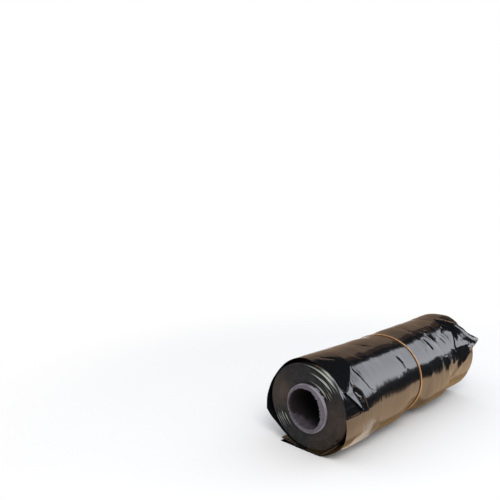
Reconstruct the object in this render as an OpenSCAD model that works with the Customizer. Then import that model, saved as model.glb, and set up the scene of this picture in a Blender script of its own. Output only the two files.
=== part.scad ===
// A roll of black bin bags lying on its side. The bags are wound on a tube,
// the last bag is a loose turn round them, and a rubber band holds it.
// The roll runs along X with its open end towards -X, and stands on z = 0.

/* [Winding] */
// Length of the wound bags
roll_length = 300; // [240:5:360]
// Width of the winding as it lies
roll_width = 111; // [100:1:124]
// Height of the winding as it lies, less than its width because it sags
roll_height = 102; // [94:1:118]
// Number of loose turns that stand out of each end face
loose_turns = 5; // [3:1:6]
// Distance from one loose turn to the next
turn_pitch = 2.6; // [2.2:0.1:3.2]
// Thickness of a loose turn
turn_wall = 1.1; // [0.8:0.1:1.5]
// How far the loose turns stand out of the end face
turn_stand = 1.4; // [0.8:0.1:2.5]

/* [Core] */
// Outside diameter of the core tube
core_d = 58; // [50:1:64]
// Wall of the core tube
core_wall = 4.5; // [3:0.5:6]
// How far the core stands out of the winding at each end
core_stand = 1.6; // [0.5:0.1:4]
// How far the core lies below the middle of the winding
core_drop = 2.4; // [0:0.2:4]
// How far the outer ply of the core ends before the inner ply
ply_step = 0.8; // [0.4:0.1:1.4]

/* [Outer bag] */
// Thickness of the outer bag, folded flat
film = 0.9; // [0.8:0.1:1.4]
// How far the film bulges below the winding on the open side
sag = 5.6; // [4.6:0.2:7]
// How loosely the film lies over the top
slack = 1.4; // [0.6:0.1:2.5]
// How far the long crease stands off the back of the winding
crease_stand = 11; // [4:0.5:13]
// Angle of that crease round the roll, from the bottom
crease_angle = 289; // [276:1:294]
// Length of the tail that lies on the ground
tail_length = 40; // [25:1:50]
// How far the film is set back from the open end, over the top
set_back = 8; // [2:1:14]
// How far the film reaches past the far end of the winding
overhang = 14; // [8:1:20]
// How far the pointed corner reaches past the far end
corner_reach = 26; // [20:1:34]
// How far the film is drawn in behind the far end
draw_in = 9; // [3:1:14]
// How far the film lifts off the top at the far end
end_lift = 3; // [0:0.5:5]
// Height of the small folded ear at the open end
ear_stand = 6; // [2:0.5:8]
// Height of the folds across the far half of the film
fold_height = 2.6; // [1:0.1:3.2]

/* [Rubber band] */
// Width of the rubber band
band_width = 2.2; // [1.5:0.1:4]
// Thickness of the rubber band
band_thick = 1.2; // [0.8:0.1:1.6]
// Place of the band along the roll, from the middle of the winding
band_place = 4; // [-40:1:40]
// How far the band leans along the roll, to each side of its place
band_lean = 8; // [0:1:12]

/* [Fits] */
// Clearance between a layer and what it lies on
seat_gap = 0.3; // [0.2:0.05:0.4]
// Clearance of the core tube in the winding
core_fit = 0.15; // [0.1:0.05:0.3]

/* [Hidden] */

half_length = roll_length / 2;
half_w = roll_width / 2;
half_h = roll_height / 2;
layer = film + seat_gap;
under = 2 * layer + seat_gap + band_thick;
mid_x = (core_stand - corner_reach) / 2;
mid_y = (ear_stand - crease_stand) / 2;
mid_z = half_h + under;
core_r = core_d / 2;
bore_r = core_r - core_wall;
seat_r = core_r + core_fit;
core_z = mid_z - core_drop;

// End of the loose film inside the tail, and where it meets the winding again
meet_angle = 333;
end_angle = 353;
tail_steps = 6;
body_steps = 52;
round_steps = 66;
tail_angle = tail_length / (half_h + layer) * 180 / PI;
arc_mm = (half_w + half_h) / 2 * PI / 180;

function mix(p, q, t) = p + (q - p) * t;
function clip(t) = min(1, max(0, t));
function ease(t) = clip(t) * clip(t) * (3 - 2 * clip(t));
// 1 at the centre, down to 0 at a distance of one width
function bump(t, centre, width) = ease(1 - abs(t - centre) / width);

// Angles run from the bottom up the open side, over the top and down the back
function oval(a, off) = [
  mid_y - (half_w + off) * sin(a),
  mid_z - (half_h + off) * cos(a)
];

// A turn between the core, share 0, and the outside of the winding, share 1
function turn(a, share) = [
  mid_y - mix(seat_r, half_w, share) * sin(a),
  mix(core_z, mid_z, share) - mix(seat_r, half_h, share) * cos(a)
];

module along_x(x0, x1) {
  translate([mid_x + x0, 0, 0])
    rotate([90, 0, 90])
      linear_extrude(x1 - x0)
        children();
}

module core_rod(r, x0, x1) {
  translate([mid_x + x0, mid_y, core_z])
    rotate([0, 90, 0])
      cylinder(r = r, h = x1 - x0, $fn = 96);
}

module core_tube() {
  inner_end = half_length + core_stand;
  outer_end = inner_end - ply_step;
  color([0.35, 0.32, 0.36])
    difference() {
      union() {
        core_rod(core_r, -outer_end, outer_end);
        core_rod(core_r - core_wall / 3, -inner_end, inner_end);
      }
      core_rod(bore_r, -inner_end - 1, inner_end + 1);
    }
}

// The edge of the loose turns, one spiral wall wound outwards
module loose_spiral() {
  depth = (half_w + half_h) / 2 - seat_r;
  step = 7.5;
  count = loose_turns * 360 / step;
  pitch = turn_pitch / depth;
  wall = turn_wall / depth;
  last = 1 - 0.5 / depth;
  first = last - wall - loose_turns * pitch;
  inner = [for (k = [0 : count]) turn(k * step, first + pitch * k * step / 360)];
  outer = [for (k = [count : -1 : 0]) turn(k * step, first + wall + pitch * k * step / 360)];
  polygon(concat(inner, outer));
}

module end_groove(r, side) {
  depth = turn_stand / 2;
  face = half_length - turn_stand;
  x0 = side < 0 ? -face - 1 : face - depth;
  translate([mid_x + x0, mid_y, core_z])
    rotate([0, 90, 0])
      difference() {
        cylinder(r = r + turn_wall / 2, h = depth + 1, $fn = 96);
        translate([0, 0, -1])
          cylinder(r = r - turn_wall / 2, h = depth + 3, $fn = 96);
      }
}

module bag_winding() {
  face = half_length - turn_stand;
  tight = seat_r + turn_pitch;
  color([0.16, 0.14, 0.14])
    difference() {
      union() {
        along_x(-face, face)
          polygon([for (k = [0 : 95]) oval(k * 3.75, 0)]);
        along_x(-half_length, half_length)
          loose_spiral();
      }
      core_rod(seat_r, -half_length - 1, half_length + 1);
      for (side = [-1, 1])
        end_groove(tight, side);
    }
}

// How much the band draws the film in, and how much it holds the tail up
band_edge = 2 * band_width;
function from_band(x) = max(0, abs(x - band_place) - band_edge);
function pinch(x) = ease(1 - from_band(x) / 34);
function hold(x) = ease(1 - from_band(x) / 95);

// Folds as [angle, place, angle, place, height, width]. A place is a share of
// the half length, a height is a share of fold_height, and a width is in mm.
folds = [
  [156, 0.37, 126, 0.37, 0.8, 8],
  [164, 0.52, 108, 0.52, 1.2, 8],
  [152, 0.68, 98, 0.68, 0.9, 8],
  [158, 0.82, 136, 0.82, 1.0, 8],
  [146, 0.90, 112, 0.84, 0.8, 8],
  [168, 0.95, 117, 1.00, 1.5, 9],
  [96, 0.95, 70, 0.66, 0.9, 10],
  [138, -0.17, 114, -0.13, 0.8, 8],
  [148, -0.72, 112, -0.58, 0.6, 9],
  [232, 0.60, 266, 0.68, 1.0, 9],
  [228, 0.33, 260, 0.42, 0.7, 9],
  [226, 0.82, 256, 0.90, 0.8, 9],
  [234, -0.55, 266, -0.70, 0.8, 9]
];
function along(f, a, x) =
  let (
    from = [f[0] * arc_mm, f[1] * half_length],
    run = [f[2] * arc_mm, f[3] * half_length] - from
  )
  clip(([a * arc_mm, x] - from) * run / (run * run));
function fold_at(f, a, x) =
  let (
    from = [f[0] * arc_mm, f[1] * half_length],
    run = [f[2] * arc_mm, f[3] * half_length] - from,
    miss = norm([a * arc_mm, x] - from - run * along(f, a, x))
  )
  f[4] * max(0, 1 - miss / f[5]);
function fold_sum(a, x, k = 0) =
  k == len(folds) ? 0 : fold_at(folds[k], a, x) + fold_sum(a, x, k + 1);

// The ear: a flap of film turned up at the open end, highest at its tip
ear_line = [122, -0.93, 98, -0.84, 1, 9];
function ear(a, x) =
  ear_stand * fold_at(ear_line, a, x) * mix(0.45, 1, along(ear_line, a, x));

// How far the inner face of the film stands off the winding
function loose(a, x) =
  let (
    far = ease((x - 0.55 * half_length) / (0.15 * half_length)),
    near = 1 - ease((x + half_length) / (0.7 * half_length)),
    bulge = ease((mix(100, 62, far) - a) / mix(52, 60, far)),
    top = slack * (1 + 1.4 * near) * bump(a, 192, 75),
    lift = end_lift * bump(a, 176, 50) * ease((x / half_length - 0.75) / 0.25),
    crease = crease_stand * mix(1, 0.4, ease((x + half_length) / half_length)),
    rise = pow(clip((a - 228) / (crease_angle - 228)), 1.5),
    fall = pow(clip((meet_angle - a) / (meet_angle - crease_angle)), 2.2)
  )
  seat_gap + (mix(sag, under - film + 0.5, far) - seat_gap) * bulge + top + lift
  + (a > crease_angle ? crease * fall : crease * rise);
function tight(a) = seat_gap + layer * ease((34 - a) / 30);
function stand(a, x) =
  mix(loose(a, x) + fold_height * fold_sum(a, x) + ear(a, x), tight(a), pinch(x));

// Edge of the film past each end, by angle. The corner's tip is on the grid.
corner_angle = crease_angle * 21 / body_steps;
function corner(a, width) = clip(1 - abs(a - corner_angle) / width);
function open_edge(a) = -half_length - 1 + set_back * bump(a, 158, 62);
function far_reach(a) =
  4 + (overhang - 4) * bump(a, 170, 60) + overhang / 3 * bump(a, 235, 50)
  + (corner_reach - 4 - (overhang - 4) * bump(corner_angle, 170, 60)) * corner(a, 17);
function drawn(a) =
  draw_in * ease((a - 45) / 30) * ease((330 - a) / 25) * (1 - corner(a, 30));

// Places along the film, then shares of its reach past the far end
near_places = [-0.90, -0.84, -0.78, -0.70, -0.56, -0.42];
far_places = [
  0.32, 0.37, 0.42, 0.47, 0.52, 0.57, 0.62, 0.68, 0.73, 0.78, 0.82, 0.86, 0.90, 0.95, 1.01
];
places = concat(
  near_places * half_length,
  [for (t = [0.4, 0.75, 1]) mix(near_places[5] * half_length, band_place - band_edge, t)],
  [for (t = [0, 0.3, 0.65]) mix(band_place + band_edge, far_places[0] * half_length, t)],
  far_places * half_length
);
past = [0.35, 0.7, 1];
stations = 1 + len(places) + len(past);
lean_angle = 135;
function lean(a) = band_lean * cos(a - lean_angle);
// The folds of the far half run aslant, and the film's grid leans with them
slant = 6;
function shift(a, x) =
  lean(a) * hold(x)
  + slant * (1 - 2 * ease((a - 100) / 65))
  * ease((x / half_length - 0.2) / 0.2) * ease((1 - x / half_length) / 0.1);

// A station's place along the roll: [flat place, share past the far end]
function place(j, a) =
  j == 0 ? open_edge(a) :
  j <= len(places) ? max(places[j - 1], open_edge(a) + 2.5 * j) :
  half_length * 1.01 + (far_reach(a) - half_length * 0.01) * past[j - 1 - len(places)];
function past_share(j) = j <= len(places) ? 0 : past[j - 1 - len(places)];

function film_point(j, a, side) =
  let (
    x = place(j, a),
    off = stand(a, min(x, half_length)) - drawn(a) * pow(past_share(j), 1.5),
    p = oval(a, off + side * film),
    low = side == 1 ? 0 : film
  )
  [mid_x + x + shift(a, x), p[0], max(low, p[1])];

function tail_point(j, s, side) =
  let (
    a = -tail_angle * (1 - s),
    x = place(j, 0),
    ground = [mid_y + tail_length * (1 - s), (1 - side) * film],
    held = oval(a, seat_gap + layer + side * film),
    p = mix(ground, held, hold(x))
  )
  [mid_x + x + lean(a) * hold(x), p[0], p[1]];

function strip_point(j, i, side) =
  i < tail_steps ? tail_point(j, i / tail_steps, side) :
  film_point(j, strip_angle(i - tail_steps), side);
// Points round the film, closer together at the crease
function strip_angle(k) =
  k <= body_steps ? crease_angle * k / body_steps :
  mix(crease_angle, end_angle, (k - body_steps) / (round_steps - body_steps));

module outer_bag() {
  across = tail_steps + round_steps + 1;
  faces_of = [for (side = [1, 0]) for (j = [0 : stations - 1]) for (i = [0 : across - 1])
    strip_point(j, i, side)];
  inside = stations * across;
  outer_faces = [for (j = [0 : stations - 2]) for (i = [0 : across - 2])
    let (p = j * across + i)
    each [[p, p + 1, p + across + 1], [p, p + across + 1, p + across]]];
  inner_faces = [for (f = outer_faces) [f[2] + inside, f[1] + inside, f[0] + inside]];
  end_rims = [for (j = [0, stations - 1]) for (i = [0 : across - 2])
    let (p = j * across + i, q = p + inside)
    each j == 0 ? [[p, q, q + 1], [p, q + 1, p + 1]] : [[p, q + 1, q], [p, p + 1, q + 1]]];
  side_rims = [for (i = [0, across - 1]) for (j = [0 : stations - 2])
    let (p = j * across + i, q = p + inside)
    each i == 0 ? [[p, p + across, q + across], [p, q + across, q]]
                : [[p, q + across, p + across], [p, q, q + across]]];
  color([0.07, 0.075, 0.09])
    polyhedron(
      points = faces_of,
      faces = concat(outer_faces, inner_faces, end_rims, side_rims),
      convexity = 10
    );
}

// Stand-off of the band's inner face: over the film, and over the tail
function band_off(a) =
  let (
    over_tail = max(ease((34 - a) / 30), ease((a - 360 + tail_angle + 14) / 10))
  )
  2 * seat_gap + film + layer * over_tail;

module rubber_band() {
  steps = 80;
  ring = [for (k = [0 : steps - 1])
    let (
      a = k * 360 / steps,
      off = band_off(a),
      x = mid_x + band_place + lean(a),
      low = oval(a, off),
      high = oval(a, off + band_thick)
    )
    each [
      [x - band_width / 2, low[0], low[1]],
      [x - band_width / 2, high[0], max(0, high[1])],
      [x + band_width / 2, high[0], max(0, high[1])],
      [x + band_width / 2, low[0], low[1]]
    ]];
  total = 4 * steps;
  skin = [for (k = [0 : steps - 1]) for (c = [0 : 3])
    let (
      p = 4 * k + c,
      q = 4 * k + (c + 1) % 4,
      r = (p + 4) % total,
      s = (q + 4) % total
    )
    each [[p, r, s], [p, s, q]]];
  color([0.75, 0.5, 0.3])
    polyhedron(points = ring, faces = skin, convexity = 6);
}

core_tube();
bag_winding();
outer_bag();
rubber_band();
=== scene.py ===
import math

import bpy
import numpy as np
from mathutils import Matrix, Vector


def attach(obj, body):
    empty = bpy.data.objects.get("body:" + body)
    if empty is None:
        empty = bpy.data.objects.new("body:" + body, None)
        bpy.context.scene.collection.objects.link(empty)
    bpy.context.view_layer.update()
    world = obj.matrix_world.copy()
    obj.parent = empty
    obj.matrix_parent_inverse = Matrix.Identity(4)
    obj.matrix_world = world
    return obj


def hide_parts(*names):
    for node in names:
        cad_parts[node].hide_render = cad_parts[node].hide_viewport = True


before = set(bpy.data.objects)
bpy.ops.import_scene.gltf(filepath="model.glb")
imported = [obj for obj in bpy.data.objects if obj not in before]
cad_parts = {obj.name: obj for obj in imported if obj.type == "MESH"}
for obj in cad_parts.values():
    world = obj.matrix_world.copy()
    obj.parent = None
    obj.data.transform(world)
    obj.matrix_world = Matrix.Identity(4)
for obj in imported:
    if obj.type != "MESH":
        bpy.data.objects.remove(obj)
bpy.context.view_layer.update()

bpy.ops.object.select_all(action="DESELECT")

MM = 0.001

# ---- sizes in millimetres and degrees, as the solids have them
#
# An angle a counts round the roll: 0 at its foot, 90 in front, 180 on top and 270 behind.
# A place x counts along the roll from the middle of the winding. The open end is at -HALF_LENGTH.

# The winding
HALF_LENGTH = 150.0
HALF_WIDTH = 55.5
HALF_HEIGHT = 51.0
MID = (-12.2, -2.5, 54.9)
ARC = (HALF_WIDTH + HALF_HEIGHT) / 2 * math.pi / 180  # one degree round the winding

# The core, which lies a little below the middle of the winding
CORE_DROP = 2.4
CORE_Y, CORE_Z = MID[1], MID[2] - CORE_DROP
CORE_RADIUS = 29.0
BORE_RADIUS = 24.5
SEAT_RADIUS = 29.15
CORE_STAND = 1.6
PLY_STEP = 0.8
OUTER_PLY = 1.5
TORN_STAND = 0.9  # how much further the torn edge stands out
OPEN_STAND = 1.6  # how much further the whole mouth stands out at the open end

# The loose film: its thickness, the least gap below it, and how far it stands off
FILM = 0.9
GAP = 0.3
LAYER = FILM + GAP
SAG = 5.6  # in front, near the open end
FAR_SAG = 3.5  # the same at the far end
SLACK = 1.4  # on top
END_LIFT = 3.0  # on top of the far end
DRAW_IN = 9.0  # how far it is drawn in past the far end
RAISE, RAISE_FROM = 2.4, -151  # how much it widens behind the open end, and from where

# The fold at the back, where the film meets itself again below it, and its inner end
BACK_FOLD_STAND = 11.0
BACK_FOLD_FROM = 228.0
BACK_FOLD_ANGLE = 289.0
MEET_ANGLE = 333.0
END_ANGLE = 353.0

# The tail on the ground
TAIL_LENGTH = 40.0
TAIL_ANGLE = math.degrees(TAIL_LENGTH / (HALF_HEIGHT + LAYER))

# How far the film reaches past the far end, and the corner that sticks out there
LEAST_OVERHANG = 4.0
OVERHANG = 14.0
CORNER_REACH = 26.0
CORNER_ANGLE = BACK_FOLD_ANGLE * 21 / 52
PAST_FROM = HALF_LENGTH + 0.5

# The rubber band, and how far from it the film is drawn in and the tail is held up
BAND_PLACE = 4.0
BAND_WIDTH = 2.2
BAND_THICK = 1.2
BAND_LEAN = 8.0
LEAN_ANGLE = 135.0
PINCH_REACH = 34.0
HOLD_REACH = 95.0


# ---- shared shape functions

def clip(t):
    return np.clip(t, 0.0, 1.0)


def ease(t):
    t = clip(t)
    return t * t * (3 - 2 * t)


def rising(t, start, stop):
    """0 up to start and 1 from stop on, with a smooth way up between them."""
    return ease((t - start) / (stop - start))


def falling(t, start, stop):
    """1 up to start and 0 from stop on, with a smooth way down between them."""
    return ease((stop - t) / (stop - start))


def bump(t, centre, width):
    """1 at the centre, and 0 from the width on to both sides."""
    return ease(1 - np.abs(t - centre) / width)


def mix(p, q, t):
    return p + (q - p) * t


def along_line(t, line):
    return np.interp(t, [p[0] for p in line], [p[1] for p in line])


def oval(a, off):
    """The way across and up of a point that stands off the winding."""
    r = np.radians(a)
    return (MID[1] - (HALF_WIDTH + off) * np.sin(r),
            MID[2] - (HALF_HEIGHT + off) * np.cos(r))


def from_band(x):
    return np.maximum(0, np.abs(x - BAND_PLACE) - 2 * BAND_WIDTH)


def pinch(x):
    """1 where the band draws the film in."""
    return ease(1 - from_band(x) / PINCH_REACH)


def hold(x):
    """1 where the band holds up the tail."""
    return ease(1 - from_band(x) / HOLD_REACH)


def lean(a):
    return BAND_LEAN * np.cos(np.radians(a - LEAN_ANGLE))


def over_end(a):
    """1 near the foot, where the film lies over its own inner end."""
    return falling(a, 4, 34)


NOISE_SIZE = 64


def lattice(u, v, seed):
    """Smooth noise between -1 and 1 on a repeating grid, with a value at each whole u and v."""
    table = np.random.default_rng(seed).uniform(-1, 1, (NOISE_SIZE, NOISE_SIZE))
    iu, iv = np.floor(u).astype(int), np.floor(v).astype(int)
    fu, fv = ease(u - iu), ease(v - iv)

    def value(i, j):
        return table[i % NOISE_SIZE, j % NOISE_SIZE]

    low = mix(value(iu, iv), value(iu + 1, iv), fu)
    high = mix(value(iu, iv + 1), value(iu + 1, iv + 1), fu)
    return mix(low, high, fv)


def waver(a, size, row, seed):
    """The same noise round the roll only, with waves of the given size in degrees."""
    return lattice(a / size, a * 0 + row, seed)


def spans_of(a, x, line):
    """For each span of a line of (angle, place) points: how far along it, and how far off it."""
    for (a0, x0), (a1, x1) in zip(line, line[1:]):
        run = np.array([(a1 - a0) * ARC, x1 - x0])
        du, dv = (a - a0) * ARC, x - x0
        t = clip((du * run[0] + dv * run[1]) / (run @ run))
        yield t, np.hypot(du - run[0] * t, dv - run[1] * t)


# How fast a crease rises from its ends, and how much of it is left there
FADE_RATE, FADE_LEFT = 5, 0.12


def crease(a, x, line, height, width, sharp=1.0):
    """A ridge, or a groove where height is negative, along a line of (angle, place) points."""
    total = np.zeros(np.broadcast(a, x).shape)
    for k, (t, miss) in enumerate(spans_of(a, x, line)):
        along = (k + t) / (len(line) - 1)
        fade = np.minimum(1, FADE_RATE * np.minimum(along, 1 - along) + FADE_LEFT)
        total = np.maximum(total, fade * np.exp(-(miss / width) ** sharp))
    return height * total


# ---- the creases of the outer layer

# Creases that show in the film: (line of (angle, place), height, width, sharpness)
CREASES = [
    ([(147, -113), (140, -114), (129, -110), (115, -103), (109, -95)], -0.45, 0.9, 1.6),
    ([(152, 45), (143, 47), (133, 50)], 1.0, 2.6, 1.0),
    ([(149, 49), (137, 51), (127, 55)], -1.4, 2.0, 1.1),
    ([(158, 62), (149, 64), (138, 68)], 1.3, 2.0, 1.0),
    ([(155, 67), (143, 70), (132, 74), (122, 77), (111, 82)], -1.7, 2.4, 1.1),
    ([(160, 76), (150, 78), (136, 82)], 1.2, 2.6, 1.0),
    ([(156, 88), (141, 92), (122, 98)], 0.7, 2.4, 1.0),
    ([(154, 117), (149, 120), (141, 124)], -1.3, 1.5, 1.2),
    ([(158, 122), (150, 125), (142, 129)], 0.7, 1.3, 1.1),
    ([(144, 126), (131, 117), (119, 109), (112, 111)], -0.9, 1.3, 1.2),
    ([(110, 138), (110, 146), (112, 156)], 1.2, 2.4, 1.2),
    ([(98, 136), (88, 118), (74, 92)], 0.8, 4.0, 1.2),
    ([(104, 118), (84, 100), (70, 78)], -0.4, 5.0, 1.3),
    ([(142, -27), (126, -21), (115, -22)], 0.9, 2.0, 1.0),
    ([(140, -32), (128, -27), (117, -28)], -0.6, 2.2, 1.1),
    ([(160, -13), (155, -10)], 1.2, 2.2, 1.0),
    ([(40, -142), (52, -98), (72, -86)], 2.2, 4.0, 1.0),
    ([(34, -60), (46, -30), (60, -14)], 0.9, 4.0, 1.0),
    ([(120, 20), (104, 30), (92, 34)], 0.6, 3.0, 1.0),
    ([(176, 60), (196, 78), (222, 84)], 1.0, 4.0, 1.0),
    ([(182, 120), (206, 128), (236, 122)], 1.2, 3.6, 1.0),
    ([(190, -60), (214, -84), (246, -112)], 1.0, 4.5, 1.1),
    ([(232, 70), (262, 96)], 1.4, 4.0, 1.0),
    ([(236, 124), (262, 138)], 1.2, 3.6, 1.0),
    ([(200, -128), (226, -112), (252, -118)], 0.8, 3.6, 1.0),
    ([(201, -65), (190, -61), (178, -57), (163, -48)], -1.5, 1.4, 1.1),
    ([(184, -136), (174, -130), (163, -117)], -0.9, 1.4, 1.1),
    ([(197, 43), (178, 50), (160, 45)], -1.0, 1.8, 1.0),
]

# Short creases all over: how many, and the spans that their places and shapes are drawn from
SMALL_NUMBER = 120
FAR_PLACES, OTHER_PLACES = (18, 158), (-138, 10)
SMALL_ANGLES = (62, 275)
SMALL_LENGTHS = (8, 26)
SMALL_HEIGHTS = (0.10, 0.40)
SMALL_WIDTHS = (1.4, 3.2)
SMALL_REACH = 40
TURN_SPREAD, FAR_TURN = 22, 12
RIDGE_SHARE = 0.6
CALM_FROM, CALM_HEIGHT = 100, 0.4

# How high the ripples are towards the open and the far end
RIPPLE_HEIGHTS = (0.17, 0.36)


def small_creases(a, x):
    """Many short creases, mostly across the roll, closer together towards the far end."""
    pick = np.random.default_rng(7)
    total = np.zeros(np.broadcast(a, x).shape)
    for k in range(SMALL_NUMBER):
        far = k % 3 > 0
        place = pick.uniform(*(FAR_PLACES if far else OTHER_PLACES))
        angle = pick.uniform(*SMALL_ANGLES)
        length = pick.uniform(*SMALL_LENGTHS)
        turn = math.radians(pick.normal(0, TURN_SPREAD) + (FAR_TURN if far else 0))
        height = pick.uniform(*SMALL_HEIGHTS) * (1 if far else 0.5)
        height *= 1 if pick.random() < RIDGE_SHARE else -1
        height *= CALM_HEIGHT if place > CALM_FROM else 1
        width = pick.uniform(*SMALL_WIDTHS)
        da = length * math.cos(turn) / ARC
        dx = -length * math.sin(turn)
        line = [(angle - da / 2, place - dx / 2), (angle + da / 2, place + dx / 2)]
        near = (np.abs(a - angle) < SMALL_REACH) & (np.abs(x - place) < SMALL_REACH)
        total += np.where(near, crease(a, x, line, height, width, 1.1), 0)
    return total


def ripples(a, x):
    """Low waves that run round the roll, higher towards the far end."""
    u, v = a * ARC, x
    amount = mix(*RIPPLE_HEIGHTS, rising(x, 10, 100))
    fine = lattice(u / 26 + v / 160, v / 6.5 + 9, seed=3) * 0.55
    broad = lattice(u / 46 + v / 110 + 5, v / 15, seed=4)
    return amount * (broad + fine)


def detail(a, x):
    """All creases and ripples, calmer behind the top, and none where the film lies on itself."""
    total = small_creases(a, x) + ripples(a, x)
    for line, height, width, sharp in CREASES:
        total += crease(a, x, line, height, width, sharp)
    inside = rising(a, 24, 54) * falling(a, 298, 322)
    calm = 1 - 0.8 * bump(a, 205, 52)
    return (total * calm + 0.5) * inside


# ---- the film's stand off the winding

def loose(a, x):
    """The loose film: it sags in front, lies easy on top and stands off as a fold at the back."""
    along = x / HALF_LENGTH
    far = rising(along, 0.55, 0.70)
    near = falling(along, -1, -0.3)
    bulge = ease((mix(100, 62, far) - a) / mix(52, 60, far))
    sag = (mix(SAG, FAR_SAG, far) - GAP) * bulge
    top = SLACK * (1 + 1.4 * near) * bump(a, 192, 75)
    lift = END_LIFT * bump(a, 176, 50) * rising(along, 0.75, 1)
    fold = BACK_FOLD_STAND * mix(1, 0.4, rising(along, -1, 0))
    rise = clip((a - BACK_FOLD_FROM) / (BACK_FOLD_ANGLE - BACK_FOLD_FROM)) ** 1.5
    fall = clip((MEET_ANGLE - a) / (MEET_ANGLE - BACK_FOLD_ANGLE)) ** 2.2
    back = fold * np.where(a > BACK_FOLD_ANGLE, fall, rise)
    return GAP + sag + top + lift + back


def tight(a):
    """The film where the band holds it."""
    return GAP + LAYER * over_end(a)


def raised(a, x):
    """The loose film widens from the open end inwards."""
    level_from = mix(-124, -130, rising(a, 105, 116))
    widening = 1 - (1 - clip((x - RAISE_FROM) / (level_from - RAISE_FROM))) ** 1.5
    return RAISE * widening * falling(x, -112, -37) * rising(a, 66, 94) * falling(a, 145, 215)


def seam_stand(a, x):
    """Where both layers lie together below the ear."""
    return GAP + 0.9 * (loose(a, x) - GAP) + raised(a, x)


# The open end: where the film's edge lies, as (angle, place)
OPEN_EDGE = [
    (0, -151), (40, -150), (56, -148.5), (75, -151), (91, -152), (92, -126.3), (97, -126.9),
    (104, -132), (112, -137.5), (119, -142), (124, -144), (135, -145.5), (143, -144.5),
    (153, -145), (172, -147), (202, -146), (240, -147), (290, -150), (330, -151), (360, -151),
]

# The ear at its corner: where it begins, as (angle, place), and how far it stands off by angle
EAR_NEAR = [(96, -150), (119, -150), (124, -138), (128, -134.5), (133, -131.5)]
EAR_STAND = [(95, 6.2), (104, 4.9), (110, 3.5), (119, 1.9), (126, 2.5), (133, 3.2)]
EAR_EDGE = 0.8
EAR_FOOT, EAR_TOP = 95, 125.6

# The two fold lines at the ear's far side and behind its hollow, and the fold in the hollow
FOLD_NEAR = [
    (0, -126), (96, -126), (104, -128.5), (110, -130.5), (119, -131.3), (125.6, -128.6),
    (131, -130), (146, -114), (151, -108.6), (360, -108.6),
]
FOLD_FAR = [
    (0, -113), (96, -113), (101, -114), (110, -117), (116.5, -118.5), (123, -124.6),
    (125.6, -127.2), (131, -128), (146, -111), (151, -105), (360, -105),
]
HOLLOW_FOLD = [(119, -129.5), (113, -126.5), (107.6, -121)]

# Where the film above the ear begins to come down to the winding
FLAT_FROM = [(131, -130), (151, -108.6)]

# The distance between the two mesh rows of a sharp step
CRISP = 0.06


def open_edge(a):
    return along_line(a, OPEN_EDGE) + 0.5 * waver(a, 11, 3.5, seed=21) * rising(a, 120, 140)


def near_end(height, a, x):
    """Draws the film down to the open end, and turns its corner up as an ear with a hollow."""
    height = height + raised(a, x)
    together = rising(a, 76, 88) * (a < EAR_FOOT) * falling(x, -126, -120)
    height = mix(height, seam_stand(a, x) + 0.1, together)

    # above the ear the film comes down to the winding
    edge = open_edge(a)
    away = 1 - clip((x - edge) / (along_line(a, FLAT_FROM) - edge))
    height = mix(height, 0.5, rising(a, 116, 122) * falling(a, 160, 190) * away)

    # the ear
    near, far = along_line(a, FOLD_NEAR), along_line(a, FOLD_FAR)
    in_front = np.where(a < EAR_TOP, x <= near + CRISP / 2, ease((-129.5 - x) / EAR_EDGE))
    in_ear = (rising(a, EAR_FOOT, EAR_FOOT + 1.4) * falling(a, 132, 134)
              * ease((x - along_line(a, EAR_NEAR)) / EAR_EDGE) * in_front)
    height = mix(height, along_line(a, EAR_STAND), in_ear)

    # the hollow behind it
    brim = loose(a, far) + raised(a, far) + 0.4
    across = clip((x - near) / (far - near))
    low = mix(brim - 0.1, 0.35, rising(a, 92, 105))
    floor = mix(low, brim - 0.25, across) + crease(a, x, HOLLOW_FOLD, 1.2, 1.3)
    between = (x > near + CRISP / 2) * (x <= far + CRISP / 2)
    return mix(height, floor, between * rising(a, 90, 96) * (a < EAR_TOP + 0.2))


def stand(a, x):
    """The outer layer."""
    free = near_end(loose(a, x) + detail(a, x), a, x)
    held = tight(a) + 0.12 * (1 + lattice(a * ARC / 9, x / 5, seed=12)) * rising(a, 30, 50)
    return np.maximum(GAP, mix(free, held, pinch(x)))


def under_stand(a, x):
    """The inner layer: close to the winding in front, with the outer one at the back fold."""
    share = mix(0.4, 1.0, rising(a, 225, 275)) * rising(a, 20, 60)
    share = np.where(a < 60, mix(1.0, share, rising(a, 10, 60)), share)
    inner = mix(GAP + (loose(a, x) - GAP) * share, tight(a), pinch(x))
    in_hollow = rising(x, -134, -131) * falling(x, -114, -104) * bump(a, 112, 24)
    inner = mix(inner, GAP * 0.5, in_hollow)
    shown = GAP + (seam_stand(a, x) - GAP) * falling(a, 109, 121)
    hidden_from = along_line(a, FOLD_NEAR) + mix(1.5, -2.5, rising(a, 97, 102))
    at_end = rising(a, 62, 78) * falling(a, 120, 124) * (1 - ease((x - hidden_from) / 2))
    return np.maximum(GAP * 0.5, mix(inner, shown, at_end))


# ---- the far end

def far_edge(a):
    """Where the film ends past the far end, with the corner that sticks out."""
    def on_top(angle):
        return (OVERHANG - LEAST_OVERHANG) * bump(angle, 170, 60)

    corner = clip(1 - np.abs(a - CORNER_ANGLE) / np.where(a < CORNER_ANGLE, 11, 17))
    wave = 0.9 * waver(a, 8, 1.5, seed=22)
    return (HALF_LENGTH + LEAST_OVERHANG + 4.5 * bump(a, 140, 26) + on_top(a)
            + OVERHANG / 3 * bump(a, 235, 50)
            + (CORNER_REACH - LEAST_OVERHANG - on_top(CORNER_ANGLE)) * corner
            + wave * (1 - corner))


def drawn(a):
    """How far the film is drawn in past the far end: less on top, and not at the corner."""
    keep = 1 - clip(1 - np.abs(a - CORNER_ANGLE) / 30)
    less = 1 - 0.8 * bump(a, 168, 52)
    return DRAW_IN * rising(a, 45, 75) * falling(a, 305, 330) * keep * less


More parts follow.
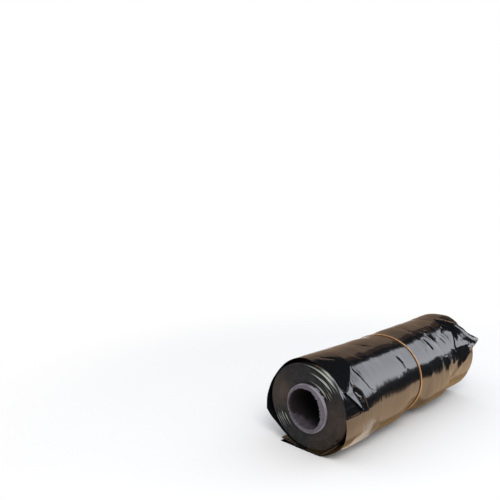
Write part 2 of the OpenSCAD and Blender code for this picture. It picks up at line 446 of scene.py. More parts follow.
# The ridge that runs out to the corner, as (angle, place), and its height by angle
RIDGE = [(113, 173), (117, 162.6), (124, 151), (137, 141), (148.7, 138.4), (159, 134.7), (172, 131)]
RIDGE_HEIGHT = [(113, 5.4), (125, 5.8), (137, 6.0), (148, 4.4), (159, 2.3), (176, 0)]

# How far the film falls by its distance from the ridge: beside it, near the tip, and behind it
RIDGE_FALL = [(0, 0), (1.9, 0), (2.5, 0.07), (6.2, 1.05), (12, 2.44), (18, 3.3), (40, 5.2),
              (50, 6.0)]
TIP_FALL = [(0, 0), (1.6, 0), (2.2, 0.07), (5.4, 0.95), (16, 1.6), (30, 3.6), (44, 5.4), (60, 8.0)]
BACK_SLOPE, BACK_FROM = 0.26, 1.2


def flare(a, x):
    """The loose film rises to a ridge at the far end, and falls behind it."""
    away = np.min([miss for t, miss in spans_of(a, x, RIDGE)], axis=0)
    behind = (x > along_line(a, RIDGE)) & (a > RIDGE[0][0])
    beside = mix(along_line(away, RIDGE_FALL), along_line(away, TIP_FALL), falling(a, 115, 124))
    fall = np.where(behind, BACK_SLOPE * np.maximum(0, away - BACK_FROM), beside)
    facet = (rising(a, 113, 133) * falling(a, 134, 168)
             * ease((x - 113 - 0.45 * (a - 116)) / 9) * falling(x, 156, 176))
    return np.maximum(0, along_line(a, RIDGE_HEIGHT) - fall) + 1.3 * facet


# ---- points of the film; side is 0 on its inner face and 1 on its outer face

def film_point(a, x, past, side, outer):
    within = np.minimum(x, HALF_LENGTH)
    off = (stand if outer else under_stand)(a, within) - drawn(a) * past ** 1.5
    if outer:
        off = off + flare(a, x)
    y, z = oval(a, off + side * FILM)
    z = np.maximum(z, (1 - side) * FILM)
    return np.stack([MID[0] + x + lean(a) * hold(x), y, z], -1)


def tail_point(s, x, side):
    """The tail, from its free edge at s = 0 to the foot at s = 1."""
    a = -TAIL_ANGLE * (1 - s)
    ground_y = MID[1] + TAIL_LENGTH * (1 - s)
    held_y, held_z = oval(a, GAP + LAYER + side * FILM)
    y = mix(ground_y, held_y, hold(x))
    z = mix((1 - side) * FILM + 0 * a, held_z, hold(x))
    return np.stack([MID[0] + x + lean(0) * hold(x), y, z], -1)


# ---- making meshes

def mesh_piece(name, points, faces):
    mesh = bpy.data.meshes.new(name)
    mesh.from_pydata((np.asarray(points) * MM).tolist(), [], faces)
    mesh.update()
    piece = bpy.data.objects.new(name, mesh)
    bpy.context.scene.collection.objects.link(piece)
    mesh.polygons.foreach_set("use_smooth", [True] * len(mesh.polygons))
    return piece


def grid_faces(rows, across):
    j, i = np.meshgrid(np.arange(rows - 1), np.arange(across - 1), indexing="ij")
    first = j * across + i
    quads = np.stack([first, first + 1, first + across + 1, first + across], -1)
    return quads.reshape(-1, 4)


def give_uv(piece, name, uv):
    """A map in metres: round the roll, and along it."""
    layer = piece.data.uv_layers.new(name=name)
    index = np.empty(len(piece.data.loops), dtype=np.int32)
    piece.data.loops.foreach_get("vertex_index", index)
    layer.data.foreach_set("uv", (np.asarray(uv)[index] * MM).ravel().tolist())


def give_mask(piece, name, values):
    layer = piece.data.attributes.new(name, "FLOAT", "POINT")
    layer.data.foreach_set("value", np.clip(values, 0, 1).astype(np.float32))


def steps(spans):
    """Places in rising order, from (start, end, number) spans."""
    parts = [np.linspace(start, end, number, endpoint=False) for start, end, number in spans]
    return np.concatenate(parts + [[spans[-1][1]]])


# Where in the thickness each layer's mesh lies, where its rows change their spacing, and the
# longest side of a face
OUTER_SIDE, INNER_SIDE = 1.0, 0.25
ROW_BREAKS = (-80, 100)
LONGEST_SIDE = 9.0


def film_sheet(name, tail_columns, angles, row_numbers, outer, tail_lift=0.0, pull_back=0.0):
    """One layer of the loose bag, from its tail on the ground, round the roll, to its inner end.
    Its rows follow the open edge, the two fold lines by the ear and the far edge."""
    side = OUTER_SIDE if outer else INNER_SIDE
    level = 0 * angles
    near = open_edge(angles) if outer else level - HALF_LENGTH - 1 + pull_back
    fold_near, fold_far = along_line(angles, FOLD_NEAR), along_line(angles, FOLD_FAR)
    far = far_edge(angles) - pull_back
    lines = [near, fold_near, fold_near + CRISP, fold_far, fold_far + CRISP,
             level + ROW_BREAKS[0], level + ROW_BREAKS[1], level + PAST_FROM, far]
    parts = []
    for k, number in enumerate(row_numbers):
        last = k == len(row_numbers) - 1
        parts.append(mix(lines[k], lines[k + 1], np.linspace(0, 1, number, endpoint=last)[:, None]))
    x = np.concatenate(parts)
    past = clip((x - PAST_FROM) / (far - PAST_FROM))
    body = film_point(angles[None] + 0 * x, x, past, side, outer)

    share = np.linspace(0, 1, tail_columns, endpoint=False)[None]
    x_tail = x[:, :1] + 0 * share
    tail = tail_point(share + 0 * x_tail, x_tail, side)
    tail[..., 2] += tail_lift * (1 - share) ** 1.5 * (1 - hold(x_tail))
    points = np.concatenate([tail, body], 1)
    rows, across = points.shape[:2]

    # the slit below the ear stays open: no face bridges it
    faces = grid_faces(rows, across)[:, ::-1]
    flat = points.reshape(-1, 3)
    sides = [np.linalg.norm(flat[faces[:, k]] - flat[faces[:, k - 1]], axis=1) for k in range(4)]
    bridging = np.max(sides, axis=0) > LONGEST_SIDE
    piece = mesh_piece(name, flat, faces[~bridging].tolist())

    step = np.linalg.norm(np.diff(points[rows // 2], axis=0), axis=1)
    u = np.concatenate([[0], np.cumsum(step)])[None]
    give_uv(piece, "film", np.stack(np.broadcast_arrays(u, points[..., 0]), -1).reshape(-1, 2))
    # Painted highlight: a pale line along the outer layer's edge at the ear, and a pale patch on
    # the inner layer's open edge, where they catch the light
    rim = np.zeros((rows, across))
    if outer:
        rim[0, tail_columns:] = 0.30 * rising(angles, 96, 100) * falling(angles, 122, 130)
    else:
        rim[:2, tail_columns:] = bump(angles, 149, 15)
    give_mask(piece, "painted_glint", rim.ravel())
    return piece


def deselect():
    bpy.ops.object.select_all(action="DESELECT")


def tidy_normals(piece):
    deselect()
    piece.select_set(True)
    bpy.context.view_layer.objects.active = piece
    bpy.ops.object.mode_set(mode="EDIT")
    bpy.ops.mesh.select_all(action="SELECT")
    bpy.ops.mesh.remove_doubles(threshold=0.001 * MM)
    bpy.ops.mesh.normals_make_consistent(inside=False)
    bpy.ops.object.mode_set(mode="OBJECT")
    bpy.ops.object.shade_smooth()


def turned_body(name, profile, around):
    """A closed ring body: a circle across the roll, drawn through (radius, place) steps."""
    def centre(place):
        return ((MID[0] + place) * MM, CORE_Y * MM, CORE_Z * MM)

    deselect()
    radius, place = profile[0]
    bpy.ops.mesh.primitive_circle_add(vertices=around, radius=radius * MM, fill_type="NOTHING",
                                      location=centre(place), rotation=(0, math.pi / 2, 0))
    piece = bpy.context.object
    piece.name = piece.data.name = name
    bpy.ops.object.transform_apply(location=True, rotation=True, scale=True)
    bpy.ops.object.mode_set(mode="EDIT")
    bpy.ops.mesh.select_all(action="SELECT")
    for next_radius, next_place in profile[1:]:
        step = (next_place - place) * MM
        grow = next_radius / radius
        bpy.ops.mesh.extrude_edges_move(TRANSFORM_OT_translate={"value": (step, 0, 0)})
        bpy.ops.transform.resize(value=(1, grow, grow), center_override=centre(next_place))
        radius, place = next_radius, next_place
    bpy.ops.mesh.select_all(action="DESELECT")
    bpy.ops.mesh.select_mode(type="EDGE")
    bpy.ops.mesh.select_non_manifold()
    bpy.ops.mesh.bridge_edge_loops()
    bpy.ops.object.mode_set(mode="OBJECT")
    return piece


def read_points(piece):
    """A piece's points in millimetres, with their angle round the core and distance from it."""
    points = np.empty(len(piece.data.vertices) * 3)
    piece.data.vertices.foreach_get("co", points)
    points = points.reshape(-1, 3) / MM
    dy, dz = points[:, 1] - CORE_Y, points[:, 2] - CORE_Z
    return points, np.degrees(np.arctan2(-dy, -dz)) % 360, np.hypot(dy, dz)


def write_points(piece, points):
    piece.data.vertices.foreach_set("co", (points * MM).ravel())
    piece.data.update()


# ---- materials

def new_material(name):
    material = bpy.data.materials.new(name)
    material.use_nodes = True
    tree = material.node_tree
    return material, tree, tree.nodes["Principled BSDF"]


def add(tree, kind, **values):
    """A new node, with values for its sockets or its settings."""
    node = tree.nodes.new(kind)
    for key, value in values.items():
        if key in node.inputs:
            node.inputs[key].default_value = value
        else:
            setattr(node, key, value)
    return node


def grain_group():
    """Fine mottling in two tones, with a height for the bump."""
    group = bpy.data.node_groups.new("fine_grain", "ShaderNodeTree")
    for name in ("Scale", "Detail", "Roughness", "From", "To"):
        group.interface.new_socket(name=name, in_out="INPUT", socket_type="NodeSocketFloat")
    for name in ("Dark", "Light"):
        group.interface.new_socket(name=name, in_out="INPUT", socket_type="NodeSocketColor")
    group.interface.new_socket(name="Color", in_out="OUTPUT", socket_type="NodeSocketColor")
    group.interface.new_socket(name="Height", in_out="OUTPUT", socket_type="NodeSocketFloat")
    link = group.links.new
    given, result = add(group, "NodeGroupInput"), add(group, "NodeGroupOutput")
    place = add(group, "ShaderNodeTexCoord")
    noise = add(group, "ShaderNodeTexNoise")
    spread = add(group, "ShaderNodeMapRange")
    tones = add(group, "ShaderNodeMix", data_type="RGBA")
    link(place.outputs["Object"], noise.inputs["Vector"])
    for name in ("Scale", "Detail", "Roughness"):
        link(given.outputs[name], noise.inputs[name])
    link(noise.outputs["Fac"], spread.inputs["Value"])
    link(given.outputs["From"], spread.inputs["From Min"])
    link(given.outputs["To"], spread.inputs["From Max"])
    link(spread.outputs["Result"], tones.inputs["Factor"])
    link(given.outputs["Dark"], tones.inputs["A"])
    link(given.outputs["Light"], tones.inputs["B"])
    link(tones.outputs["Result"], result.inputs["Color"])
    link(noise.outputs["Fac"], result.inputs["Height"])
    return group


fine_grain = grain_group()


def grained(tree, shader, strength, distance, dark, light, **values):
    """Places the grain in a material, drives its bump with it, and gives back its colour."""
    grain = add(tree, "ShaderNodeGroup", node_tree=fine_grain)
    for name, value in {**values, "Dark": (*dark, 1), "Light": (*light, 1)}.items():
        grain.inputs[name].default_value = value
    relief = add(tree, "ShaderNodeBump", Strength=strength, Distance=distance)
    tree.links.new(grain.outputs["Height"], relief.inputs["Height"])
    tree.links.new(relief.outputs["Normal"], shader.inputs["Normal"])
    return grain.outputs["Color"]


def tinted(tree, colour, mask, tone):
    """Mixes a tone over a colour where a mask of the piece says so."""
    where = add(tree, "ShaderNodeAttribute", attribute_name=mask)
    both = add(tree, "ShaderNodeMix", data_type="RGBA")
    both.inputs["B"].default_value = (*tone, 1)
    tree.links.new(where.outputs["Fac"], both.inputs["Factor"])
    tree.links.new(colour, both.inputs["A"])
    return both.outputs["Result"]


def film_gloss():
    """Black film: glossy, with fine streaks along the roll."""
    material, tree, shader = new_material("black_film")
    link = tree.links.new
    shader.inputs["Roughness"].default_value = 0.14
    shader.inputs["IOR"].default_value = 1.95
    uv = add(tree, "ShaderNodeUVMap", uv_map="film")
    stretch = add(tree, "ShaderNodeMapping", Scale=(45, 260, 1))
    fine = add(tree, "ShaderNodeTexNoise", Scale=1.0, Detail=3.0, Roughness=0.55)
    soft = add(tree, "ShaderNodeTexNoise", Scale=90.0, Detail=2.0)
    link(uv.outputs["UV"], stretch.inputs["Vector"])
    link(stretch.outputs["Vector"], fine.inputs["Vector"])
    link(uv.outputs["UV"], soft.inputs["Vector"])
    low = add(tree, "ShaderNodeBump", Strength=0.3, Distance=0.0006)
    high = add(tree, "ShaderNodeBump", Strength=0.2, Distance=0.0004)
    link(fine.outputs["Fac"], low.inputs["Height"])
    link(soft.outputs["Fac"], high.inputs["Height"])
    link(low.outputs["Normal"], high.inputs["Normal"])
    link(high.outputs["Normal"], shader.inputs["Normal"])
    tones = add(tree, "ShaderNodeMix", data_type="RGBA")
    tones.inputs["A"].default_value = (0.004, 0.0045, 0.006, 1)
    tones.inputs["B"].default_value = (0.007, 0.0075, 0.009, 1)
    link(soft.outputs["Fac"], tones.inputs["Factor"])
    # Painted highlight: a pale tone where the glint mask marks lit film edges
    rimmed = tinted(tree, tones.outputs["Result"], "painted_glint", (0.40, 0.42, 0.38))
    link(rimmed, shader.inputs["Base Color"])
    return material


def wound_film():
    """The edges of the wound turns: dull black film with a painted brown sheen, painted highlights
    on a few pale edges, and painted shade in the torn gaps.
    """
    material, tree, shader = new_material("wound_film_edges")
    colour = grained(tree, shader, 0.25, 0.0004,
                     dark=(0.0098, 0.0092, 0.0092), light=(0.0225, 0.0205, 0.020),
                     Scale=160, Detail=4, Roughness=0.5, From=0.35, To=0.7)
    # Painted sheen: a brown tone on the sides of the faces, where the turns' edges catch the light
    colour = tinted(tree, colour, "painted_brown_sheen", (0.060, 0.042, 0.033))
    # Painted highlight: a pale tone on the turn edges that catch the light
    colour = tinted(tree, colour, "painted_glint", (0.37, 0.39, 0.35))
    # Painted shade: near black in the torn holes by the core
    colour = tinted(tree, colour, "painted_gap_shade", (0.002, 0.002, 0.002))
    tree.links.new(colour, shader.inputs["Base Color"])
    shader.inputs["Roughness"].default_value = 0.40
    shader.inputs["Specular IOR Level"].default_value = 0.16
    return material


def core_board():
    """Purple-grey board, paler round its outside at the mouth as a painted highlight, and dark in
    the bore as painted shade.
    """
    material, tree, shader = new_material("core_board")
    colour = grained(tree, shader, 0.6, 0.0006,
                     dark=(0.062, 0.052, 0.068), light=(0.145, 0.125, 0.155),
                     Scale=240, Detail=5, Roughness=0.65, From=0.3, To=0.75)
    # Painted highlight: a paler tone round the outside of the mouth, where its edge catches the
    # light
    colour = tinted(tree, colour, "painted_rim_highlight", (0.27, 0.245, 0.285))
    # Painted shade: near black in the bore, lighter where the light reaches in, and in the nick
    colour = tinted(tree, colour, "painted_bore_shade", (0.010, 0.007, 0.010))
    tree.links.new(colour, shader.inputs["Base Color"])
    shader.inputs["Roughness"].default_value = 0.68
    return material


def band_rubber():
    """Tan rubber."""
    material, tree, shader = new_material("band_rubber")
    colour = grained(tree, shader, 0.3, 0.0002,
                     dark=(0.40, 0.185, 0.065), light=(0.60, 0.34, 0.155),
                     Scale=300, Detail=3, Roughness=0.5, From=0.3, To=0.75)
    tree.links.new(colour, shader.inputs["Base Color"])
    shader.inputs["Roughness"].default_value = 0.42
    return material


film_material = film_gloss()
wound_material = wound_film()
core_material = core_board()
rubber_material = band_rubber()


def dress(piece, node, material):
    piece.data.materials.clear()
    piece.data.materials.append(material)
    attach(piece, "root")
    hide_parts(node)


# ---- the two layers of the loose bag

wrap_angles = steps([(0, 60, 30), (60, 84, 20), (84, 91, 9), (91, 92, 1), (92, 134, 70),
                     (134, 180, 52), (180, 289, 62), (289, END_ANGLE, 24)])
under_angles = steps([(0, 60, 20), (60, 84, 14), (84, 130, 46), (130, 180, 24), (180, 289, 34),
                      (289, END_ANGLE, 16)])
film_wrap = film_sheet("film_wrap", 24, wrap_angles, (22, 1, 15, 1, 26, 102, 58, 22), True)
dress(film_wrap, "outer_bag", film_material)
film_under = film_sheet("film_under", 16, under_angles, (16, 1, 8, 1, 12, 60, 20, 10), False,
                        tail_lift=3.4, pull_back=0.8)
dress(film_under, "outer_bag", film_material)


# ---- the winding

FACE_RINGS, FACE_SIDES = 130, 288

# The turns: how thick they are, how far in the looser ones reach, and how high their edges stand
TIGHT_TURN, LOOSE_TURN = 0.9, 2.6
LOOSE_DEPTH = 13.5
TIGHT_LEVEL, TIGHT_SPREAD = -0.8, 0.25
LOOSE_LEVEL, LOOSE_SPREAD = -0.4, 0.35
WALL_HEIGHT = 0.35
GLINT_HEIGHT, DARK_GAP_DEPTH = 0.3, 2.6
HOLE_DEPTH, FRAY_DEPTH = 9, 4
HIGHEST, RIM_HIGHEST = 0.4, -0.5

# Turns whose edges catch the light, raised a little and given a painted highlight: depth below the
# rim, from angle, to angle, half width, strength
OPEN_END_GLINTS = [
    (2.0, 124, 188, 1.7, 1.0), (9.8, 126, 178, 1.5, 0.85), (19.8, 121, 182, 1.1, 0.7),
    (5.9, 122, 150, 0.5, 0.4), (14.0, 118, 150, 0.7, 0.4), (16.6, 116, 140, 0.5, 0.3),
    (15.2, 293, 326, 0.50, 0.95), (11.6, 291, 320, 0.50, 0.85), (8.0, 294, 322, 0.40, 0.50),
    (4.8, 292, 320, 0.45, 0.6), (1.8, 296, 318, 0.40, 0.45),
]
FAR_END_GLINTS = [
    (1.6, 40, 96, 0.9, 0.5), (7.5, 52, 92, 0.6, 0.4), (12.0, 200, 248, 0.5, 0.4),
    (4.0, 196, 240, 0.6, 0.45),
]


def turn_edges(a, out, depth, end, row):
    """The height of the turns' edges on a face: tight ones, and looser ones near the rim."""
    coil = -a / 360 * end
    loose_from = depth - LOOSE_DEPTH
    tight_turn = out / TIGHT_TURN - coil
    spread = lattice(np.floor(tight_turn) * 1.7 + row, a / 90, seed=31)
    tight_height = TIGHT_LEVEL + TIGHT_SPREAD * spread
    loose_turn = (out - loose_from + 0.8 * waver(a, 40, row, seed=33)) / LOOSE_TURN - coil
    within = loose_turn % 1
    wall = rising(within, 0.02, 0.16) * falling(within, 0.71, 0.85)
    spread = lattice(np.floor(loose_turn) * 1.3 + 4 + row, a / 60, seed=34)
    loose_height = LOOSE_LEVEL + LOOSE_SPREAD * spread - WALL_HEIGHT * (1 - wall)
    return mix(tight_height, loose_height, ease((out - loose_from) / 1.2))


def glints(a, below, end):
    """The lit edges of single turns, and the dark gaps outside them."""
    lit, gap = 0 * below, 0 * below
    for side, arcs in ((-1, OPEN_END_GLINTS), (1, FAR_END_GLINTS)):
        for place, start, stop, wide, strength in arcs:
            share = clip((a - start) / (stop - start))
            middle = ease(share / 0.3) * ease((1 - share) / 0.7) * (end == side)
            off = below - place - 0.5 * waver(a, 20, place, seed=35)
            grown = wide * (0.35 + 0.65 * middle)
            edge = ease((grown + 0.25 - np.abs(off)) / 0.5)
            lit = np.maximum(lit, strength * middle ** 0.5 * edge)
            beside = ease((0.9 - np.abs(off - grown - 0.8)) / 0.6)
            gap = np.maximum(gap, middle ** 0.3 * beside)
    return lit, gap


def wound_turns():
    """The wound bags: an oval body whose end faces show the edges of the turns."""
    depth = (HALF_WIDTH + HALF_HEIGHT) / 2 - SEAT_RADIUS
    radii = SEAT_RADIUS + depth * np.linspace(0, 1, FACE_RINGS)
    near = [(radius, -HALF_LENGTH) for radius in radii]
    far = [(radius, HALF_LENGTH) for radius in radii[::-1]]
    piece = turned_body("wound_bags", near + far, FACE_SIDES)
    points, a, radius = read_points(piece)
    end = np.where(points[:, 0] < MID[0], -1, 1)
    row = np.where(end < 0, 0.0, 17.0)
    share = clip((radius - SEAT_RADIUS) / depth)
    out = share * depth
    below = depth - out

    lit, gap = glints(a, below, end)
    height = turn_edges(a, out, depth, end, row) - DARK_GAP_DEPTH * gap + GLINT_HEIGHT * lit

    # torn film by the core and a frayed rim, both at the open end
    torn = np.where(end < 0, bump(a, 142, 26) * ease((3.6 - out) / 1.2), 0)
    hole = torn * ease(0.35 + 1.6 * lattice(a / 4.5, out / 1.5, seed=36))
    frayed = np.where(end < 0, bump(a, 46, 20) * falling(below, 1, 4), 0)
    frayed = frayed * ease(0.2 + 1.6 * lattice(a / 4, out / 1.2, seed=38))
    height = height - HOLE_DEPTH * hole - FRAY_DEPTH * frayed
    height = np.minimum(height, np.where(share >= 0.999, RIM_HIGHEST, HIGHEST))

    r = np.radians(a)
    points[:, 0] = MID[0] + end * (HALF_LENGTH + height)
    points[:, 1] = MID[1] - mix(SEAT_RADIUS, HALF_WIDTH, share) * np.sin(r)
    points[:, 2] = mix(CORE_Z, MID[2], share) - mix(SEAT_RADIUS, HALF_HEIGHT, share) * np.cos(r)
    write_points(piece, points)

    # Painted highlight: the pale tone follows the lit turn edges
    give_mask(piece, "painted_glint", lit * ease(1.05 + 0.6 * lattice(a / 7, out / 2.2 + row, seed=37)))
    # Painted shade in the torn holes
    give_mask(piece, "painted_gap_shade", 1.3 * hole)
    # Painted sheen: strongest on the left and right of the faces, by angle
    sheen = bump(a, 258, 44) + 0.62 * bump(a, 78, 60) + 0.3 * bump(a, 20, 40)
    sheen = sheen * (0.7 + 0.3 * lattice(a / 14, out / 6, seed=40))
    give_mask(piece, "painted_brown_sheen", np.where(np.abs(height) < 6, sheen, 0))
    tidy_normals(piece)
    return piece


wound_bags = wound_turns()
dress(wound_bags, "bag_winding", wound_material)


# ---- the core

CORE_SIDES = 300
NICK_DEPTH = 2.4

# Steps along the bore, counted from its mouth, and how deep the light reaches into it by angle,
# which lifts the painted shade there
BORE_STEPS = (50, 42, 34, 26, 18, 12, 6, 3, 1.5)
LIT_FROM = 280
LIT_DEPTH = [(10, 0), (17, 4), (26, 11), (44, 17.6), (61, 20.4), (89, 17.5), (105, 8), (118, 0)]


def core_piece():
    """The core tube, with a torn inner edge and a step between its plies at each mouth."""
    inner_end = HALF_LENGTH + CORE_STAND + TORN_STAND
    outer_end = HALF_LENGTH + CORE_STAND - PLY_STEP
    ply = CORE_RADIUS - OUTER_PLY
    half = [(BORE_RADIUS, 60)] + [(BORE_RADIUS, inner_end - step) for step in BORE_STEPS] + [
        (BORE_RADIUS + 0.1, inner_end - 0.6), (BORE_RADIUS + 0.4, inner_end - 0.1),
        (BORE_RADIUS + 0.9, inner_end), (ply - 0.8, inner_end - 0.1), (ply - 0.2, inner_end - 0.4),
        (ply, outer_end + 0.3), (ply + 0.15, outer_end), (CORE_RADIUS - 0.35, outer_end),
        (CORE_RADIUS, outer_end - 0.4), (CORE_RADIUS, outer_end - 5),
    ]
    ring = half + [(radius, -place) for radius, place in half[::-1]]
    piece = turned_body("core_board_tube", ring, CORE_SIDES)
    points, a, radius = read_points(piece)
    place = points[:, 0] - MID[0]
    end = np.sign(place)
    depth = inner_end - np.abs(place)

    # the inner edge: torn, worn on one side, and with a nick
    mouth = falling(depth, 0.4, 4.0) * ease((BORE_RADIUS + 1.6 - radius) / 1.0)
    torn = (np.abs(lattice(a / 3.4 + end * 7, a * 0 + 2.2, seed=61))
            + 0.6 * np.abs(waver(a, 1.7, 5.1, seed=62)))
    frayed = 0.3 + bump(a, 95, 75) + 0.7 * bump(a, 175, 30)
    worn = 1.7 * bump(a, 105, 72) - 1.9 * bump(a, 272, 66)
    worn = np.where(end < 0, worn, 0.4 * bump(a, 200, 90))
    inward = mouth * ((torn * 1.9 - 0.4) * frayed + worn)
    nick = np.where(end < 0, bump(a, 293, 3.4), bump(a, 40, 3.0))
    nick = nick * rising(radius, 24, 25) * falling(depth, 1, 3)
    points[:, 0] += end * (mouth * 0.9 * waver(a, 4.2, 8.3, seed=63) - NICK_DEPTH * nick)
    points[:, 0] -= OPEN_STAND * rising(-place, HALF_LENGTH - 8, HALF_LENGTH - 4)
    points[:, 1] = CORE_Y + (points[:, 1] - CORE_Y) * (radius - inward) / radius
    points[:, 2] = CORE_Z + (points[:, 2] - CORE_Z) * (radius - inward) / radius
    write_points(piece, points)

    # painted shade from close behind the mouth, lifted on the side that the light reaches, and dark
    # in the nick
    one_side = bump(a, 265, 90)
    inside = ease((depth - mix(1.0, 0.5, one_side)) / mix(4, 0.9, one_side))
    inside = inside * ease((BORE_RADIUS + 1.0 - radius) / 0.6)
    lit_depth = along_line((a - LIT_FROM) % 360, LIT_DEPTH)
    lit = np.where(end < 0, ease((lit_depth - depth) / 4), 0)
    give_mask(piece, "painted_bore_shade", np.maximum(inside * mix(1.0, 0.35, lit), nick))
    # Painted highlight round the outside of the mouth
    outside = ease((radius - CORE_RADIUS + 0.8) / 0.4)
    give_mask(piece, "painted_rim_highlight", outside * (0.75 + 0.5 * waver(a, 20, 0, seed=64)))
    tidy_normals(piece)
    return piece


core_tube = core_piece()
dress(core_tube, "core_tube", core_material)


# ---- the rubber band

BAND_STEPS, BAND_SIDES = 280, 14
BAND_SQUARE = 0.55


def band_piece():
    """The rubber band, a flat strip with round edges that lies on the film and the tail."""
    def squared(t):
        return np.sign(t) * np.abs(t) ** BAND_SQUARE

    deselect()
    bpy.ops.mesh.primitive_torus_add(major_segments=BAND_STEPS, minor_segments=BAND_SIDES,
                                     major_radius=0.055, minor_radius=0.001, location=(0, 0, 0))
    piece = bpy.context.object
    piece.name = piece.data.name = "band"
    index = np.arange(BAND_STEPS * BAND_SIDES)
    a = (index // BAND_SIDES) * 360 / BAND_STEPS
    turn = 2 * np.pi * (index % BAND_SIDES) / BAND_SIDES
    across, up = squared(np.cos(turn)), 0.5 + 0.5 * squared(np.sin(turn))
    over_tail = np.maximum(over_end(a), ease((a - 360 + TAIL_ANGLE + 14) / 10))
    off = 2 * GAP + FILM + LAYER * over_tail + 0.05 + up * (BAND_THICK - 0.15)
    wide = (BAND_WIDTH - 0.3) / 2 * (1 + 0.10 * waver(a, 24, 1.1, seed=71))
    slide = 0.5 * waver(a, 36, 4.1, seed=72)
    y, z = oval(a, off)
    x = MID[0] + BAND_PLACE + lean(a) + slide + across * wide
    write_points(piece, np.stack([x, y, np.maximum(z, 0)], -1))
    tidy_normals(piece)
    return piece


band = band_piece()
dress(band, "rubber_band", rubber_material)


# ---- the studio, in metres

WHITE = (1, 1, 1, 1)
BLACK = (0.01, 0.01, 0.01)
WARM = (0.46, 0.31, 0.21)

# How far from the object's middle the floor begins to turn plain white, and where it has
FLOOR_FADE = (0.30, 0.62)


def sees_backdrop(tree):
    """1 for rays that see the backdrop itself: from the camera, mirrored or through a piece."""
    path = add(tree, "ShaderNodeLightPath")
    first = add(tree, "ShaderNodeMath", operation="MAXIMUM")
    second = add(tree, "ShaderNodeMath", operation="MAXIMUM")
    tree.links.new(path.outputs["Is Camera Ray"], first.inputs[0])
    tree.links.new(path.outputs["Is Glossy Ray"], first.inputs[1])
    tree.links.new(first.outputs[0], second.inputs[0])
    tree.links.new(path.outputs["Is Transmission Ray"], second.inputs[1])
    return second.outputs[0]


def mixed_shader(tree, factor, plain, other, output):
    both = add(tree, "ShaderNodeMixShader")
    tree.links.new(factor, both.inputs[0])
    tree.links.new(plain.outputs[0], both.inputs[1])
    tree.links.new(other.outputs[0], both.inputs[2])
    tree.links.new(both.outputs[0], tree.nodes[output].inputs["Surface"])


def floor_plane():
    """A white floor that turns into plain white with distance, so that no horizon shows."""
    deselect()
    bpy.ops.mesh.primitive_plane_add(size=12, location=(0, 0, 0))
    floor = bpy.context.object
    floor.name = "floor"
    material, tree, shader = new_material("floor_white")
    shader.inputs["Base Color"].default_value = (0.96, 0.96, 0.96, 1)
    shader.inputs["Roughness"].default_value = 0.9
    shader.inputs["Specular IOR Level"].default_value = 0.0
    white = add(tree, "ShaderNodeEmission", Strength=1.0, Color=WHITE)
    place = add(tree, "ShaderNodeTexCoord")
    reach = add(tree, "ShaderNodeVectorMath", operation="LENGTH")
    tree.links.new(place.outputs["Object"], reach.inputs[0])
    ramp = add(tree, "ShaderNodeMapRange", interpolation_type="SMOOTHSTEP")
    ramp.inputs["From Min"].default_value, ramp.inputs["From Max"].default_value = FLOOR_FADE
    tree.links.new(reach.outputs["Value"], ramp.inputs["Value"])
    share = add(tree, "ShaderNodeMath", operation="MULTIPLY")
    tree.links.new(ramp.outputs["Result"], share.inputs[0])
    tree.links.new(sees_backdrop(tree), share.inputs[1])
    mixed_shader(tree, share.outputs[0], shader, white, "Material Output")
    floor.data.materials.append(material)


def world_light():
    """A soft even light, in front of a white backdrop."""
    world = bpy.data.worlds.new("studio")
    bpy.context.scene.world = world
    world.use_nodes = True
    tree = world.node_tree
    back = tree.nodes["Background"]
    back.inputs["Color"].default_value = (0.95, 0.97, 1.0, 1)
    back.inputs["Strength"].default_value = 0.78
    white = add(tree, "ShaderNodeBackground", Strength=1.0, Color=WHITE)
    mixed_shader(tree, sees_backdrop(tree), back, white, "World Output")


def flat_piece(name, corners):
    mesh = bpy.data.meshes.new(name)
    mesh.from_pydata(corners, [], [tuple(range(len(corners)))])
    piece = bpy.data.objects.new(name, mesh)
    bpy.context.scene.collection.objects.link(piece)
    piece.visible_camera = False
    return piece


def card(name, corners, colour, glow=0.0):
    """A flat card beside the roll that shapes what the film reflects. The camera doesn't see it."""
    piece = flat_piece(name, corners)
    material, tree, shader = new_material(name + "_board")
    shader.inputs["Base Color"].default_value = (*colour, 1)
    shader.inputs["Emission Color"].default_value = (*colour, 1)
    shader.inputs["Emission Strength"].default_value = glow
    shader.inputs["Roughness"].default_value = 1.0
    shader.inputs["Specular IOR Level"].default_value = 0.0
    piece.data.materials.append(material)
    piece.visible_shadow = False
    piece.visible_diffuse = False


def standing_card(name, start, end, low, high, colour):
    (x0, y0), (x1, y1) = start, end
    card(name, [(x0, y0, low), (x1, y1, low), (x1, y1, high), (x0, y0, high)], colour)


def ground_card(name, front, back, colour, glow):
    """A card just above the floor in front of the roll, that its film mirrors from below."""
    left, right, high = -0.45, 0.50, 0.0008
    card(name, [(left, front, high), (right, front, high), (right, back, high), (left, back, high)],
         colour, glow)


PANEL_FADE = (-0.95, -0.45)


def light_panel(name, corners, strength, dimmer, colour):
    """A flat light with a shape of its own, dimmer towards +y. The camera doesn't see it."""
    piece = flat_piece(name, corners)
    material, tree, shader = new_material(name + "_glow")
    shader.inputs["Base Color"].default_value = (0, 0, 0, 1)
    shader.inputs["Emission Color"].default_value = (*colour, 1)
    place = add(tree, "ShaderNodeTexCoord")
    parts = add(tree, "ShaderNodeSeparateXYZ")
    fade = add(tree, "ShaderNodeMapRange")
    for socket, value in zip(("From Min", "From Max", "To Min", "To Max"),
                             (*PANEL_FADE, strength, dimmer)):
        fade.inputs[socket].default_value = value
    tree.links.new(place.outputs["Object"], parts.inputs[0])
    tree.links.new(parts.outputs["Y"], fade.inputs["Value"])
    tree.links.new(fade.outputs["Result"], shader.inputs["Emission Strength"])
    piece.data.materials.append(material)


def looking(direction):
    """The turn of a lamp or camera that looks in a direction."""
    return direction.to_track_quat("-Z", "Y").to_euler()


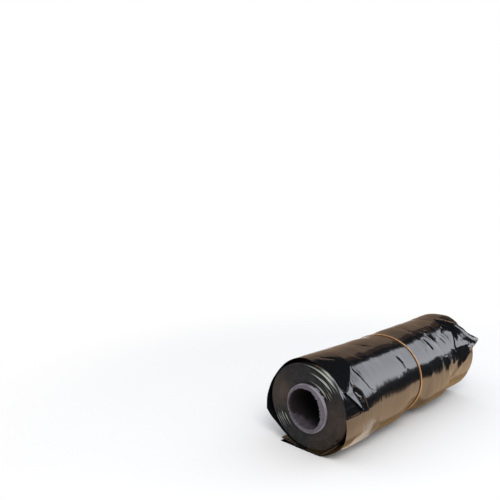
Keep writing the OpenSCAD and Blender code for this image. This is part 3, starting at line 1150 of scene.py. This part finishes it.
def softbox(name, place, target, size, power, colour):
    light = bpy.data.lights.new(name, "AREA")
    light.shape = "RECTANGLE"
    light.size, light.size_y = size
    light.energy = power
    light.color = colour
    lamp = bpy.data.objects.new(name, light)
    bpy.context.scene.collection.objects.link(lamp)
    lamp.location = place
    lamp.rotation_euler = looking(Vector(target) - Vector(place))
    lamp.visible_camera = False


# The camera, from the roll's outline in the photograph: its turn and tilt are in radians
CAMERA_LENS = 44.34
CAMERA_PLACE = (-0.69455, -0.43864, 0.33541)
CAMERA_TURN, CAMERA_TILT = 0.78773, -0.14014


def camera_piece():
    data = bpy.data.cameras.new("camera")
    data.lens = CAMERA_LENS
    data.sensor_width = 36
    data.clip_end = 20
    camera = bpy.data.objects.new("camera", data)
    bpy.context.scene.collection.objects.link(camera)
    forward = Vector((math.sin(CAMERA_TURN) * math.cos(CAMERA_TILT),
                      math.cos(CAMERA_TURN) * math.cos(CAMERA_TILT), math.sin(CAMERA_TILT)))
    camera.location = CAMERA_PLACE
    camera.rotation_euler = looking(forward)
    bpy.context.scene.camera = camera


floor_plane()
world_light()

# The lights
light_panel("side_panel", [(1.15, -1.25, 0.08), (1.15, -1.20, 0.75), (1.15, -0.27, 1.22),
                           (1.15, 0.06, 0.68), (1.15, -0.08, 0.08)], 2.6, 1.9, (0.90, 0.93, 1.0))
softbox("key", (-0.9, -0.9, 1.3), (0.0, 0.0, 0.05), (0.7, 0.7), 12, (1.0, 0.97, 0.93))

# Cards in front, to the right and above: the black and brown that the film mirrors
card("low_flag", [(-0.16, -0.205, 0.0), (0.46, -0.222, 0.0), (0.46, -0.222, 0.137),
                  (0.236, -0.21, 0.142), (0.0, -0.205, 0.058), (-0.16, -0.205, 0.058)], BLACK)
standing_card("front_flag", (-0.70, -1.35), (1.5, -1.35), 0.0, 1.5, BLACK)
standing_card("far_flag", (1.5, -1.6), (1.5, 0.22), 0.0, 2.0, BLACK)
card("top_flag", [(0.15, -1.3, 1.4), (1.5, -1.3, 1.4), (1.5, 1.0, 1.4), (0.15, 1.0, 1.4)], BLACK)
standing_card("warm_edge", (1.5, 0.22), (1.38, 0.43), 0.0, 1.4, (0.13, 0.085, 0.06))
standing_card("warm_wall", (1.38, 0.43), (1.2, 0.75), 0.0, 1.4, WARM)
standing_card("rear_wall", (1.2, 0.75), (-0.5, 0.55), 0.0, 1.4, WARM)

# Cards on the floor: the tan band, its darker part next to the roll, and a pale streak
ground_card("floor_card", -0.35, -0.064, (1.0, 0.69, 0.43), 0.34)
# Painted shadow: darker and glowing less, for the floor in the roll's shadow
ground_card("floor_near_card", -0.064, 0.0, (0.62, 0.40, 0.20), 0.13)
card("pale_spot", [(-0.138, -0.038, 0.0012), (-0.100, -0.060, 0.0012), (-0.056, -0.088, 0.0012),
                   (-0.054, -0.080, 0.0012), (-0.076, -0.058, 0.0012), (-0.080, -0.046, 0.0012),
                   (-0.128, -0.030, 0.0012)], (1.0, 0.81, 0.63), glow=0.9)

# Cards behind: dark ones round a soft highlight
standing_card("left_flag", (-0.5, 0.55), (-1.35, 0.05), 0.0, 0.42, BLACK)
standing_card("left_high_flag", (-0.5, 0.55), (-1.35, 0.05), 0.80, 1.4, BLACK)
standing_card("left_front_flag", (-1.35, 0.05), (-1.30, -1.35), 0.0, 0.85, BLACK)
card("back_top_flag", [(-1.5, 0.25, 1.4), (0.15, 0.25, 1.4), (0.15, 1.0, 1.4), (-1.5, 1.0, 1.4)],
     BLACK)
card("back_glow", [(-1.40, 0.06, 0.42), (-0.55, 0.58, 0.42), (-0.55, 0.58, 0.80),
                   (-1.40, 0.06, 0.80)], (0.90, 0.94, 1.0), glow=2.2)

camera_piece()

bpy.context.scene.view_settings.view_transform = "Standard"
